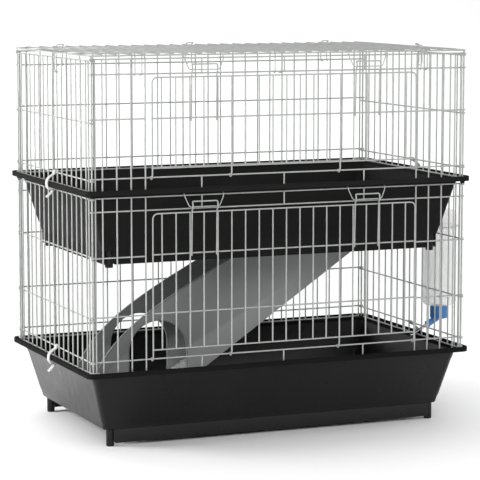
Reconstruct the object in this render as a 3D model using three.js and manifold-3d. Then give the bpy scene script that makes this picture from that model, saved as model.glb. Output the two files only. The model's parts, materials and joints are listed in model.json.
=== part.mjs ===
// Two-storey wire rabbit cage: two moulded trays, welded wire panels, a wire roof, two drop-down
// doors with bail latches, tray and roof clips, a ramp between the floors and a drinking bottle.
// Millimetres, +Z up, front of the cage towards -Y. The origin is the middle of the footprint box,
// on the ground.
import * as THREE from 'three';
import { mergeVertices } from 'three/addons/utils/BufferGeometryUtils.js';
import Module from 'manifold-3d';

const wasm = await Module();
wasm.setup();

// ---------------------------------------------------------------- driving dimensions
const GAP = 0.3;                     // clearance between neighbouring pieces
const WIRE = 3;                      // thickness of the bars and rails
const HALF = WIRE / 2;
const PITCH = 35.6;                  // bar spacing of the front, the back and the roof
const STOREY = 430;                  // height from one tray to the next
const FACE_Y = 286;                  // plane of the front and back uprights
const FACE_X = 489.5;                // plane of the side uprights
const POST_DEPTH = HALF + 2 * GAP;   // how far an end upright reaches in, to hold the rails
const RAIL_DEPTH = HALF + GAP + HALF;  // rails run just inside the uprights
const CORNER = { x: 488, y: 283.6, radius: 2.1 };
const FRONT_END_X = 480.6;           // last upright of the front and back panels
const SIDE_END_Y = 266;              // last upright of the side panels
const SIDE_RAIL_Y = 277;
const SIDE_PITCH = 35.4;
const JAMB = { left: -356, right: 356.6 };     // uprights beside the door opening
const STUB_X = [-213.6, 0, 213.6];

const TRAY = { wall: 2.6, floorX: 446, floorY: 240, floorZ: 41, floorRound: 14, topX: 483, topY: 272,
  topRound: 16, flangeZ: 180, flange: 3, rimX: 505, rimY: 300.6, rimLow: 177.5, rimTop: 190,
  rimRound: 18, lip: 3.4 };
const BOSS = { drop: 13, radius: 5.5, bore: 2.6, floor: 3 };
const FOOT = { x: 427, y: 226, radius: 10, height: 40.7 };
const SKIRT = { y: 237.5, low: 8, halfLength: 422 };
const END_SKIRT = { x: 441, low: 8, halfLength: 233 };

// heights of the wires, from the ground
const LEVELS = {
  lower: { foot: 185, sill: 213.6, rails: [319.7, 460], head: 568.8, top: 600.6,
    sideSill: 211, sideRails: [315, 462], sideTop: 598.5 },
  upper: { foot: 615, sill: 645.6, rails: [784.3], head: 889, top: 924.4,
    sideSill: 641, sideRails: [776], sideTop: 920 },
};
const DOORS = {
  lower: { bottom: 235.5, rails: [322.5, 463], top: 560.5 },
  upper: { bottom: 667.5, rails: [784.5], top: 880.5 },
};
const DOOR = { plane: 290.3, left: -340, right: 352.4, firstBar: 4.4, pitch: 35.7, bars: 9, radius: 15 };
const DOOR_HOOKS_X = [-340, -138.4, 147.2, 352.4];
const HINGE = { y: FACE_Y - RAIL_DEPTH, eye: 4.2 };
const LATCH = { centres: [-209.8, 218.6], leg: 32, legDrop: 105, barY: 294.5, barDrop: 27.1, bar: 1.3,
  barHalf: 37, topHalf: 50, overlap: 0.9 };
const CATCH_BAR = { forward: 5.2, up: 13, welded: 2.6, clear: 3.3 };

const TRAY_CLIP = { y: -11, width: 16, thick: 3, eye: 4.1,
  shoulder: [[8, -7], [16.5, -11.5], [22, -17.5], [23.6, -26], [22.6, -34.5], [18.8, -40.4], [13, -43.2]],
  heel: [7.2, -44.4], tab: [[14, -51.5], [24, -61]] };
const ROOF = { halfX: 494, halfY: 287.5, z: 932.25, barX: 13, rails: [-142, 0, 142], step: 0.1 };
const ROOF_CLIP = { leg: 8.5, width: 2.6, eye: 4.4, tail: 7.5, tailRise: 8, foot: 885.6,
  front: [-373.8, -17.8, 373.8], side: -35.4 };

const RAMP = { near: -30, far: 110, wall: 4, foot: 44.2, head: 470.4, toeX: -418, treadFootX: -240,
  treadHeadX: 395, headX: 91, archX: -229, archR: 78, archZ: 185 };
const HATCH = { x0: 96, x1: 388, y0: -25, y1: 105 };

const BOTTLE = { x: 546, y: -58, radius: 44.6, wall: 1.5, low: 259, high: 512, neck: 17 };
const SPOUT = { from: [524, 216.7], to: [464, 183], outer: 4.5, inner: 3.6, lip: 2.7, ball: 3.2 };
const HOLDER = { z: 468, wire: 1.5, slack: 2.5 };

// ---------------------------------------------------------------- materials
const finish = (color, roughness, metalness, extra = {}) =>
  new THREE.MeshStandardMaterial({ color, roughness, metalness, ...extra });
const coatedWire = finish(0xc4c7c6, 0.38, 0.25);
const clipWire = finish(0xb7bab9, 0.32, 0.6);
const blackPlastic = finish(0x1d1d1d, 0.42, 0);
const greyPlastic = finish(0x67696b, 0.5, 0);
const whitePlastic = finish(0xd9d8d2, 0.45, 0);
const bluePlastic = finish(0x2a67aa, 0.4, 0);
const clearPlastic = finish(0xe6eaea, 0.2, 0, { transparent: true, opacity: 0.45 });
const steel = finish(0xb8babc, 0.22, 0.95);
const rubber = finish(0x2b2b2b, 0.7, 0);

// ---------------------------------------------------------------- solids
function solid(geometry) {
  const bare = geometry.clone();
  bare.deleteAttribute('normal');
  bare.deleteAttribute('uv');
  const merged = mergeVertices(bare, 1e-4);
  return new wasm.Manifold(new wasm.Mesh({
    numProp: 3,
    vertProperties: new Float32Array(merged.attributes.position.array),
    triVerts: new Uint32Array(merged.index.array),
  }));
}

function geometryOf(shape) {
  const mesh = shape.getMesh();
  const geometry = new THREE.BufferGeometry();
  geometry.setAttribute('position', new THREE.BufferAttribute(mesh.vertProperties, 3));
  geometry.setIndex(new THREE.BufferAttribute(mesh.triVerts, 1));
  return geometry;
}

const fuse = (shapes) => shapes.reduce((whole, shape) => whole.add(shape));

function block(x0, x1, y0, y1, z0, z1) {
  const geometry = new THREE.BoxGeometry(x1 - x0, y1 - y0, z1 - z0);
  geometry.translate((x0 + x1) / 2, (y0 + y1) / 2, (z0 + z1) / 2);
  return solid(geometry);
}

function rod(from, to, radius, sides) {
  const a = new THREE.Vector3(...from);
  const b = new THREE.Vector3(...to);
  const geometry = new THREE.CylinderGeometry(radius, radius, a.distanceTo(b), sides);
  const turn = new THREE.Quaternion().setFromUnitVectors(
    new THREE.Vector3(0, 1, 0), b.clone().sub(a).normalize());
  geometry.applyQuaternion(turn);
  geometry.translate((a.x + b.x) / 2, (a.y + b.y) / 2, (a.z + b.z) / 2);
  return solid(geometry);
}

// a wire swept along a smooth curve through the points
function sweep(points, radius, sides, steps) {
  const curve = new THREE.CatmullRomCurve3(points.map((p) => new THREE.Vector3(...p)), false, 'centripetal');
  const circle = new THREE.EllipseCurve(0, 0, radius, radius).getPoints(sides);
  const section = new THREE.Shape(circle.slice(0, sides));
  return solid(new THREE.ExtrudeGeometry(section, { steps, extrudePath: curve, bevelEnabled: false }));
}

// a flat strip that follows a path drawn in a plane, `thick` across the path
function stripShape(path, thick) {
  const left = [];
  const right = [];
  path.forEach((p, i) => {
    const before = path[Math.max(i - 1, 0)];
    const after = path[Math.min(i + 1, path.length - 1)];
    const along = new THREE.Vector2(after[0] - before[0], after[1] - before[1]).normalize();
    const into = new THREE.Vector2(p[0] - before[0], p[1] - before[1]).normalize();
    const cosine = i > 0 && i < path.length - 1 ? Math.max(along.dot(into), 0.5) : 1;
    const offset = thick / 2 / cosine;
    left.push(new THREE.Vector2(p[0] - along.y * offset, p[1] + along.x * offset));
    right.unshift(new THREE.Vector2(p[0] + along.y * offset, p[1] - along.x * offset));
  });
  return new THREE.Shape([...left, ...right]);
}

// the strip's path is (y, z) and it is `width` wide along X, centred on x
function stripAcrossX(path, thick, x, width) {
  const geometry = new THREE.ExtrudeGeometry(stripShape(path, thick), { depth: width, bevelEnabled: false });
  geometry.applyMatrix4(new THREE.Matrix4().makeBasis(
    new THREE.Vector3(0, 1, 0), new THREE.Vector3(0, 0, 1), new THREE.Vector3(1, 0, 0)));
  geometry.translate(x - width / 2, 0, 0);
  return solid(geometry);
}

// the strip's path is (x, z) and it is `width` wide along Y, centred on y
function stripAcrossY(path, thick, y, width) {
  const geometry = new THREE.ExtrudeGeometry(stripShape(path, thick), { depth: width, bevelEnabled: false });
  geometry.applyMatrix4(new THREE.Matrix4().makeBasis(
    new THREE.Vector3(1, 0, 0), new THREE.Vector3(0, 0, 1), new THREE.Vector3(0, -1, 0)));
  geometry.translate(0, y + width / 2, 0);
  return solid(geometry);
}

const degrees = (angle) => angle * Math.PI / 180;

function arc(cx, cy, radius, from, to, steps) {
  return Array.from({ length: steps + 1 }, (_, i) => {
    const angle = degrees(from + (to - from) * i / steps);
    return [cx + radius * Math.cos(angle), cy + radius * Math.sin(angle)];
  });
}

// ---------------------------------------------------------------- scene
const cage = new THREE.Group();
const content = new THREE.Group();
cage.add(content);

function piece(name, shape, material) {
  const mesh = new THREE.Mesh(geometryOf(shape), material);
  mesh.name = name;
  content.add(mesh);
}

// ---------------------------------------------------------------- trays and feet
const CORNER_STEPS = 4;
const ROUND_SIDES = 10;

function roundedLoop(halfX, halfY, radius, z) {
  const centres = [[1, 1, 0], [-1, 1, 90], [-1, -1, 180], [1, -1, 270]];
  return centres.flatMap(([sx, sy, start]) =>
    arc(sx * (halfX - radius), sy * (halfY - radius), radius, start, start + 90, CORNER_STEPS)
      .map(([x, y]) => [x, y, z]));
}

// closes a stack of equal-length loops into one body: the first and last loops are capped
function loft(loops) {
  const count = loops[0].length;
  const positions = loops.flat(2);
  const index = [];
  for (let row = 0; row < loops.length - 1; row += 1) {
    for (let i = 0; i < count; i += 1) {
      const a = row * count + i;
      const b = row * count + (i + 1) % count;
      index.push(a, b, b + count, a, b + count, a + count);
    }
  }
  for (let i = 1; i < count - 1; i += 1) {
    const last = (loops.length - 1) * count;
    index.push(0, i + 1, i, last, last + i, last + i + 1);
  }
  const geometry = new THREE.BufferGeometry();
  geometry.setAttribute('position', new THREE.Float32BufferAttribute(positions, 3));
  geometry.setIndex(index);
  return solid(geometry);
}

function trayShell() {
  const t = TRAY;
  const flangeTop = t.flangeZ + t.flange;
  const floor = (inset, z) => roundedLoop(t.floorX - inset, t.floorY - inset, t.floorRound - inset, z);
  const mouth = (inset, z) => roundedLoop(t.topX - inset, t.topY - inset, t.topRound - inset, z);
  const rim = (inset, z) => roundedLoop(t.rimX - inset, t.rimY - inset, t.rimRound - inset, z);
  return loft([
    floor(0, t.floorZ),
    mouth(0, t.flangeZ),
    rim(t.lip, t.flangeZ),
    rim(t.lip, t.rimLow),
    rim(0, t.rimLow),
    rim(0, t.rimTop),
    rim(t.lip, t.rimTop),
    rim(t.lip + 1, flangeTop),
    mouth(t.wall, flangeTop),
    floor(t.wall, t.floorZ + t.wall),
  ]);
}

// hollow boss under each corner of the flange: it drops over the corner rod of the storey below
function cornerBoss(sx, sy) {
  const low = TRAY.flangeZ - BOSS.drop;
  const at = [sx * CORNER.x, sy * CORNER.y];
  return rod([...at, low], [...at, TRAY.flangeZ + 1], BOSS.radius, ROUND_SIDES)
    .subtract(rod([...at, low - 1], [...at, TRAY.flangeZ - BOSS.floor], BOSS.bore, ROUND_SIDES));
}

// the upper tray also has a skirt across each end and the bosses that take the corner rods
function trayBody(storey) {
  const skirts = [-1, 1].map((side) => {
    const y = side * SKIRT.y;
    return block(-SKIRT.halfLength, SKIRT.halfLength, y - TRAY.wall / 2, y + TRAY.wall / 2,
      SKIRT.low, TRAY.floorZ + 1);
  });
  if (storey === 'lower') {
    return fuse([trayShell(), ...skirts]);
  }
  const ends = [-1, 1].map((side) => {
    const x = side * END_SKIRT.x;
    return block(x - TRAY.wall / 2, x + TRAY.wall / 2, -END_SKIRT.halfLength, END_SKIRT.halfLength,
      END_SKIRT.low, TRAY.floorZ + 1);
  });
  const bosses = [];
  for (const sx of [-1, 1]) {
    for (const sy of [-1, 1]) {
      bosses.push(cornerBoss(sx, sy));
    }
  }
  return fuse([trayShell(), ...skirts, ...ends, ...bosses]);
}

piece('lower_tray', trayBody('lower'), blackPlastic);
piece('upper_tray',
  trayBody('upper').translate([0, 0, STOREY]).subtract(
    block(HATCH.x0, HATCH.x1, HATCH.y0, HATCH.y1, STOREY + TRAY.floorZ - 2, STOREY + TRAY.floorZ + 5)),
  blackPlastic);

const CORNERS = { front_left: [-1, -1], front_right: [1, -1], back_left: [-1, 1], back_right: [1, 1] };

for (const [storey, base] of [['lower', 0], ['upper', STOREY]]) {
  for (const [corner, [sx, sy]] of Object.entries(CORNERS)) {
    const at = [sx * FOOT.x, sy * FOOT.y];
    piece(`${storey}_foot_${corner}`,
      rod([...at, base], [...at, base + FOOT.height], FOOT.radius, ROUND_SIDES), blackPlastic);
  }
}

// ---------------------------------------------------------------- wire panels
// bars of one flat panel: `along` runs in the panel, `depth` points out of the cage
function panelBar(face, s0, s1, d0, d1, z0, z1) {
  const [a, b] = [face.plane + d0, face.plane + d1].map((d) => face.sign * d).sort((p, q) => p - q);
  return face.along === 'x' ? block(s0, s1, a, b, z0, z1) : block(a, b, s0, s1, z0, z1);
}

const frontFace = { along: 'x', plane: FACE_Y, sign: -1 };
const backFace = { along: 'x', plane: FACE_Y, sign: 1 };
const sideFace = (sign) => ({ along: 'y', plane: FACE_X, sign });

const upright = (face, s, z0, z1) => panelBar(face, s - HALF, s + HALF, -HALF, HALF, z0, z1);
const post = (face, s, z0, z1) => panelBar(face, s - HALF, s + HALF, -POST_DEPTH, HALF, z0, z1);
const outerRail = (face, s0, s1, z) => panelBar(face, s0, s1, -HALF, HALF, z - HALF, z + HALF);
const innerRail = (face, s0, s1, z) =>
  panelBar(face, s0, s1, -RAIL_DEPTH - HALF, -RAIL_DEPTH + HALF, z - HALF, z + HALF);

function grid(face, posts, uprights, ends, low, high, rails) {
  return fuse([
    outerRail(face, ends[0], ends[1], low),
    outerRail(face, ends[0], ends[1], high),
    ...posts.map((s) => post(face, s, low, high)),
    ...uprights.map((s) => upright(face, s, low, high)),
    ...rails.map((z) => innerRail(face, ends[0], ends[1], z)),
  ]);
}

const barsBetween = (first, last, pitch) =>
  Array.from({ length: last - first + 1 }, (_, i) => (first + i) * pitch);

for (const storey of ['lower', 'upper']) {
  const level = LEVELS[storey];
  const heights = [level.sill, ...level.rails, level.head];
  const end = FRONT_END_X + HALF;

  piece(`${storey}_back_panel`,
    grid(backFace, [-FRONT_END_X, FRONT_END_X], barsBetween(-13, 13, PITCH), [-end, end],
      level.foot, level.top, heights), coatedWire);

  const besideDoor = barsBetween(11, 13, PITCH);
  piece(`${storey}_front_left_section`,
    grid(frontFace, [-FRONT_END_X, JAMB.left], besideDoor.map((x) => -x), [-end, JAMB.left + HALF],
      level.foot, level.top, heights), coatedWire);
  piece(`${storey}_front_right_section`,
    grid(frontFace, [FRONT_END_X, JAMB.right], besideDoor, [JAMB.right - HALF, end],
      level.foot, level.top, heights), coatedWire);

  const middle = [JAMB.left + HALF + GAP, JAMB.right - HALF - GAP];
  piece(`${storey}_front_header`, fuse([
    outerRail(frontFace, ...middle, level.top),
    innerRail(frontFace, ...middle, level.head),
    ...STUB_X.map((x) => post(frontFace, x, level.head - HALF, level.top)),
  ]), coatedWire);
  piece(`${storey}_front_sill`, fuse([
    outerRail(frontFace, ...middle, level.foot),
    innerRail(frontFace, ...middle, level.sill),
    ...STUB_X.map((x) => post(frontFace, x, level.foot, level.sill + HALF)),
  ]), coatedWire);

  for (const [side, sign] of [['left', -1], ['right', 1]]) {
    piece(`${storey}_${side}_panel`,
      grid(sideFace(sign), [-SIDE_END_Y, SIDE_END_Y], barsBetween(-7, 7, SIDE_PITCH),
        [-SIDE_RAIL_Y, SIDE_RAIL_Y], level.foot, level.sideTop, [level.sideSill, ...level.sideRails]),
      coatedWire);
  }

  for (const [corner, [sx, sy]] of Object.entries(CORNERS)) {
    const at = [sx * CORNER.x, sy * CORNER.y];
    const high = storey === 'lower' ? level.top + 3 : ROOF.z - HALF - GAP;
    piece(`${storey}_corner_rod_${corner}`, rod([...at, level.foot - 1.6], [...at, high], CORNER.radius, 6),
      clipWire);
  }
}

// ---------------------------------------------------------------- roof
function roofPanel() {
  const frame = ROOF.halfX - HALF;
  const edge = ROOF.halfY - HALF;
  const low = ROOF.z - HALF;
  const high = ROOF.z + HALF;
  const bars = barsBetween(-ROOF.barX, ROOF.barX, PITCH).map((x) =>
    block(x - HALF, x + HALF, -edge, edge, low + ROOF.step, high - ROOF.step));
  const edges = [-edge, edge].map((y) => block(-frame, frame, y - HALF, y + HALF, low, high));
  const ends = [-frame, frame].map((x) =>
    block(x - HALF, x + HALF, -ROOF.halfY - GAP, ROOF.halfY + GAP, low - GAP, high + 2 * GAP));
  const rails = ROOF.rails.map((y) =>
    block(-frame, frame, y - HALF, y + HALF, high + GAP, high + GAP + WIRE));
  return fuse([...edges, ...ends, ...bars, ...rails]);
}
piece('roof_panel', roofPanel(), coatedWire);

// ---------------------------------------------------------------- doors
// one end of a door bar, carried down and curled round the sill wire it turns on
function hingeHook(x, bottom, sill) {
  const path = [
    [-DOOR.plane, bottom],
    [-DOOR.plane, sill + 6],
    ...arc(-HINGE.y, sill, HINGE.eye, 180, 400, 6),
  ];
  return stripAcrossX(path, WIRE, x, WIRE);
}

// wire that stands up in front of the door's bars and curls forward to hold the latch bail
function catchLeg(x, barZ, forward) {
  const curl = [[4.4, -6.4], [6.4, -4.7], [9.5, -1], [9.3, 6.5], [5.2, 13]];
  const path = [
    [-DOOR.plane - forward, barZ - LATCH.legDrop],
    [-DOOR.plane - forward, barZ - 10.5],
    ...curl.map(([out, up]) => [-DOOR.plane - out, barZ + up]),
  ];
  return stripAcrossX(path, WIRE, x, WIRE);
}

// legs and cross wire of one catch
function doorCatch(x, barZ, forward) {
  const y = -DOOR.plane - CATCH_BAR.forward;
  const z = barZ + CATCH_BAR.up;
  return fuse([
    catchLeg(x - LATCH.leg, barZ, forward),
    catchLeg(x + LATCH.leg, barZ, forward),
    block(x - LATCH.leg, x + LATCH.leg, y - HALF, y + HALF, z - HALF, z + HALF),
  ]);
}

function doorPanel(storey, catches) {
  const door = DOORS[storey];
  const face = { along: 'x', plane: DOOR.plane, sign: -1 };
  const { left, right, radius } = DOOR;
  const bars = Array.from({ length: 2 * DOOR.bars + 1 }, (_, i) =>
    DOOR.firstBar + (i - DOOR.bars) * DOOR.pitch);
  const sideTop = door.top - radius;
  const outline = [
    [left, sideTop],
    ...arc(left + radius, sideTop, radius, 180, 90, 4).slice(1),
    ...arc(right - radius, sideTop, radius, 90, 0, 4).slice(0, -1),
    [right, sideTop],
  ];
  const hoop = stripAcrossY(outline, WIRE, -DOOR.plane, WIRE);
  const rails = door.rails.map((z) =>
    panelBar(face, left - HALF, right + HALF, HALF + GAP, HALF + GAP + WIRE, z - HALF, z + HALF));
  const sides = [left, right].map((x) =>
    panelBar(face, x - HALF, x + HALF, -HALF, HALF + 2 * GAP, door.bottom, sideTop + 0.2));
  return fuse([
    hoop,
    outerRail(face, left - HALF, right + HALF, door.bottom),
    ...sides,
    ...bars.map((x) => upright(face, x, door.bottom, door.top)),
    ...rails,
    ...catches,
    ...DOOR_HOOKS_X.map((x) => hingeHook(x, door.bottom, LEVELS[storey].sill)),
  ]);
}

// wire bail: its low bar turns in the door's catches and its two tips lie over the top wire
function latchBail(x, storey) {
  const top = LEVELS[storey].top;
  const barZ = top - LATCH.barDrop;
  const tip = top + HALF + LATCH.overlap + LATCH.bar;
  const { topHalf, barHalf, barY } = LATCH;
  // from the tip over the top wire down to the bar: half width, distance forward, height
  const arm = [
    [topHalf, FACE_Y - 1.3, tip],
    [topHalf, FACE_Y + 2.6, tip],
    [topHalf - 0.5, FACE_Y + 4.6, tip - 3],
    [topHalf - 4, FACE_Y + 5.8, tip - 12],
    [barHalf + 2, barY - 0.5, barZ + 3.5],
    [barHalf - 1, barY, barZ],
  ];
  const half = (side) => arm.map(([across, forward, z]) => [x + side * across, -forward, z]);
  return sweep([...half(-1), [x, -barY, barZ], ...half(1).reverse()], LATCH.bar, 4, 22);
}

// the lower door's catches are one solid with it; the upper door's are solids of their own,
// so that the gap between them, where a roof clip hangs, stays open
function doorCatches(storey, forward) {
  const barZ = LEVELS[storey].top - LATCH.barDrop;
  return LATCH.centres.map((x) => doorCatch(x, barZ, forward));
}
piece('lower_door', doorPanel('lower', doorCatches('lower', CATCH_BAR.welded)), coatedWire);
piece('upper_door', doorPanel('upper', []), coatedWire);
doorCatches('upper', CATCH_BAR.clear).forEach((solid, i) => {
  piece(`upper_door_catch_${['left', 'right'][i]}`, solid, coatedWire);
});

for (const storey of ['lower', 'upper']) {
  piece(`${storey}_bail_left`, latchBail(LATCH.centres[0], storey), clipWire);
  piece(`${storey}_bail_right`, latchBail(LATCH.centres[1], storey), clipWire);
}

// ---------------------------------------------------------------- tray clips
// strap that turns on the side panel's sill wire and hooks its toe under the tray's rim;
// its paths are distance out from that wire and height above it
function trayClip(sign, sill) {
  const { y, width, thick, eye, shoulder, heel, tab } = TRAY_CLIP;
  const axis = FACE_X - RAIL_DEPTH;
  const strip = (path) =>
    stripAcrossY(path.map(([out, up]) => [sign * (axis + out), sill + up]), thick, y, width);
  const strap = [...arc(0, 0, eye, 150, -60, 6), ...shoulder, heel];
  return fuse([strip(strap), strip([heel, ...tab])]);
}

for (const storey of ['lower', 'upper']) {
  for (const [side, sign] of [['left', -1], ['right', 1]]) {
    piece(`${storey}_tray_clip_${side}`, trayClip(sign, LEVELS[storey].sideSill), whitePlastic);
  }
}

// ---------------------------------------------------------------- roof clips
// double wire that hangs over the roof's edge wire and tucks in under the panel's head wire;
// its profile is distance out from the edge wire and height
function roofClip(place) {
  const { eye, foot, leg, tail, tailRise } = ROOF_CLIP;
  const half = ROOF_CLIP.width / 2;
  const profile = [
    [-tail, ROOF.z + tailRise],
    ...arc(0, ROOF.z, eye, 120, 0, 3),
    [eye, foot + 10],
    [eye - 1.9, foot + 1.9],
    [eye - 5.9, foot],
    [eye - 10.1, foot],
  ];
  const height = ROOF.z + tailRise + 0.1;
  return fuse([
    place.strip(profile, -leg),
    place.strip(profile, leg),
    place.crossbar([-tail - half, -tail + half], [height - half, height + half]),
  ]);
}

function alongFront(sign, x) {
  const out = (d) => sign * (ROOF.halfY - HALF + d);
  return {
    strip: (path, offset) =>
      stripAcrossX(path.map(([d, z]) => [out(d), z]), ROOF_CLIP.width, x + offset, ROOF_CLIP.width),
    crossbar: (reach, [z0, z1]) => {
      const [y0, y1] = reach.map(out).sort((a, b) => a - b);
      return block(x - ROOF_CLIP.leg, x + ROOF_CLIP.leg, y0, y1, z0, z1);
    },
  };
}

function alongSide(sign, y) {
  const out = (d) => sign * (ROOF.halfX - HALF + d);
  return {
    strip: (path, offset) =>
      stripAcrossY(path.map(([d, z]) => [out(d), z]), ROOF_CLIP.width, y + offset, ROOF_CLIP.width),
    crossbar: (reach, [z0, z1]) => {
      const [x0, x1] = reach.map(out).sort((a, b) => a - b);
      return block(x0, x1, y - ROOF_CLIP.leg, y + ROOF_CLIP.leg, z0, z1);
    },
  };
}

['left', 'middle', 'right'].forEach((place, i) => {
  piece(`roof_clip_front_${place}`, roofClip(alongFront(-1, ROOF_CLIP.front[i])), clipWire);
  piece(`roof_clip_back_${place}`, roofClip(alongFront(1, ROOF_CLIP.front[i])), clipWire);
});
piece('roof_clip_side_left', roofClip(alongSide(-1, ROOF_CLIP.side)), clipWire);
piece('roof_clip_side_right', roofClip(alongSide(1, ROOF_CLIP.side)), clipWire);

// ---------------------------------------------------------------- ramp
// channel with two tall cheeks, an arched opening through both and a sloping tread
function rampBody() {
  const r = RAMP;
  const cheek = new THREE.Shape();
  cheek.moveTo(r.toeX, r.foot);
  cheek.lineTo(r.treadFootX, r.foot);
  cheek.lineTo(r.treadHeadX, r.head);
  cheek.lineTo(r.headX, r.head);
  cheek.bezierCurveTo(-230, 305, -398, 235, r.toeX, r.foot);
  const cheekOutline = new THREE.Shape(cheek.getPoints(10));
  const slope = Math.atan2(r.head - r.foot, r.treadHeadX - r.treadFootX);
  const across = r.wall / Math.sin(slope);
  const tread = new THREE.Shape([
    new THREE.Vector2(r.treadFootX, r.foot),
    new THREE.Vector2(r.treadHeadX, r.head),
    new THREE.Vector2(r.treadHeadX - across, r.head),
    new THREE.Vector2(r.treadFootX - across, r.foot),
  ]);
  const plate = (shape, y0, y1) => {
    const geometry = new THREE.ExtrudeGeometry(shape, { depth: y1 - y0, bevelEnabled: false });
    geometry.rotateX(Math.PI / 2);
    geometry.translate(0, y1, 0);
    return solid(geometry);
  };
  const archTop = arc(r.archX, r.archZ, r.archR, 0, 180, 12);
  const archShape = new THREE.Shape([
    [r.archX + r.archR, r.foot - 5], ...archTop, [r.archX - r.archR, r.foot - 5],
  ].map((p) => new THREE.Vector2(...p)));
  const opening = plate(archShape, r.near - 5, r.far + 5);
  const cheeks = [[r.near, r.near + r.wall], [r.far - r.wall, r.far]].map(([y0, y1]) =>
    plate(cheekOutline, y0, y1).subtract(opening));
  return fuse([...cheeks, plate(tread, r.near + 1, r.far - 1)]);
}
piece('ramp', rampBody(), greyPlastic);

// ---------------------------------------------------------------- drinking bottle
function turned(profile, x, y, sides) {
  const geometry = new THREE.LatheGeometry(profile.map((p) => new THREE.Vector2(...p)), sides);
  geometry.rotateX(Math.PI / 2);
  geometry.translate(x, y, 0);
  return solid(geometry);
}

const BOTTLE_SIDES = 16;
const CAP = { radius: 23, low: 225, high: 258.6, wall: 2.5 };
const ELBOW = { radius: 8.5, sides: 12, wellOut: 12, wellDrop: 3, wellRadius: 2.5 };

function bottleShell() {
  const { radius, wall, low, high, neck } = BOTTLE;
  const outer = [[neck, low - 22], [neck, low], [radius - 14, low + 1], [radius - 4, low + 5],
    [radius, low + 14], [radius, high - 14], [radius - 4, high - 4], [radius - 14, high]];
  const inner = [[radius - 14, high - wall], [radius - 5, high - 5], [radius - wall, high - 15],
    [radius - wall, low + 15], [radius - 5, low + 6.5], [radius - 15, low + 2.5], [neck - wall, low + 1.5],
    [neck - wall, low - 22]];
  const profile = [...outer, [0, high], [0, high - wall], ...inner, outer[0]];
  return turned(profile, BOTTLE.x, BOTTLE.y, BOTTLE_SIDES);
}

// point on the spout's axis: 0 at its upper end and 1 at its tip
const spoutAt = (t) => [
  SPOUT.from[0] + (SPOUT.to[0] - SPOUT.from[0]) * t,
  BOTTLE.y,
  SPOUT.from[1] + (SPOUT.to[1] - SPOUT.from[1]) * t,
];

function bottleCap() {
  const { radius, low, high, wall } = CAP;
  const cup = turned([
    [0, low], [radius - 2, low], [radius, low + 2], [radius, high], [radius - wall, high],
    [radius - wall, low + wall], [0, low + wall],
  ], BOTTLE.x, BOTTLE.y, BOTTLE_SIDES);
  const { x, y } = BOTTLE;
  const above = block(x - 2 * radius, x + 2 * radius, y - radius, y + radius, low + wall - 0.5, high);
  const elbow = rod(spoutAt(0.24), spoutAt(-0.55), ELBOW.radius, ELBOW.sides).subtract(above);
  const bore = rod(spoutAt(0.4), spoutAt(-0.26), SPOUT.outer + GAP, ELBOW.sides);
  const well = rod([x - ELBOW.wellOut, y, low - ELBOW.wellDrop], [x - ELBOW.wellOut, y, high],
    ELBOW.wellRadius, ELBOW.sides);
  return fuse([cup, elbow]).subtract(bore).subtract(well);
}

function drinkingTube() {
  const start = new THREE.Vector3(...spoutAt(-0.13));
  const tip = new THREE.Vector3(...spoutAt(1));
  const length = start.distanceTo(tip);
  const { outer, inner, lip } = SPOUT;
  const geometry = new THREE.LatheGeometry([
    [inner, 0], [outer, 0], [outer, length - 4], [lip + 0.9, length], [lip, length],
    [inner, length - 2.6], [inner, 0],
  ].map((p) => new THREE.Vector2(...p)), 14);
  geometry.applyQuaternion(new THREE.Quaternion().setFromUnitVectors(
    new THREE.Vector3(0, 1, 0), tip.clone().sub(start).normalize()));
  geometry.translate(start.x, start.y, start.z);
  return solid(geometry);
}

function drinkingBall() {
  const tip = new THREE.Vector3(...spoutAt(1));
  const back = new THREE.Vector3(...spoutAt(0)).sub(tip).normalize().multiplyScalar(3.6);
  const geometry = new THREE.IcosahedronGeometry(SPOUT.ball, 1);
  geometry.translate(tip.x + back.x, tip.y + back.y, tip.z + back.z);
  return solid(geometry);
}

function bottleSeal() {
  const low = CAP.low + CAP.wall + GAP;
  return turned([[10, low], [18, low], [18, low + 3], [10, low + 3], [10, low]],
    BOTTLE.x, BOTTLE.y, BOTTLE_SIDES);
}

// wire loop round the bottle, with both ends hooked up against the side panel
function bottleHolder() {
  const r = BOTTLE.radius + HOLDER.slack + HOLDER.wire;
  const reach = FACE_X + HALF + GAP + HOLDER.wire;
  const loop = arc(BOTTLE.x, BOTTLE.y, r, -125, 125, 10).map(([x, y]) => [x, y, HOLDER.z]);
  const ends = (side) => [
    [reach + 0.2, BOTTLE.y + side * 31, HOLDER.z + 16],
    [reach, BOTTLE.y + side * 31, HOLDER.z + 4],
    [reach + 4, BOTTLE.y + side * 33, HOLDER.z],
  ];
  return sweep([...ends(-1), ...loop, ...ends(1).reverse()], HOLDER.wire, 5, 32);
}

piece('water_bottle', bottleShell(), clearPlastic);
piece('bottle_cap', bottleCap(), bluePlastic);
piece('bottle_seal', bottleSeal(), rubber);
piece('drinking_tube', drinkingTube(), steel);
piece('drinking_ball', drinkingBall(), steel);
piece('bottle_holder', bottleHolder(), clipWire);

// ---------------------------------------------------------------- origin
const bounds = new THREE.Box3().setFromObject(content);
content.position.set(-(bounds.min.x + bounds.max.x) / 2, -(bounds.min.y + bounds.max.y) / 2, 0);

export default cage;
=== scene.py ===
"""Two-storey wire rabbit cage: round welded wires, moulded trays, clips, ramp and drinking bottle.

Shapes are drawn in millimetres from the middle of the trays, with Z up from the ground, and are
moved into the frame's metres when a piece is made. Every piece stands for one CAD node, except
the lip round the hatch, which is an addition to the upper tray.
"""

import json
import math
import random

import bmesh
import bpy
from mathutils import Matrix, Vector


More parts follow.
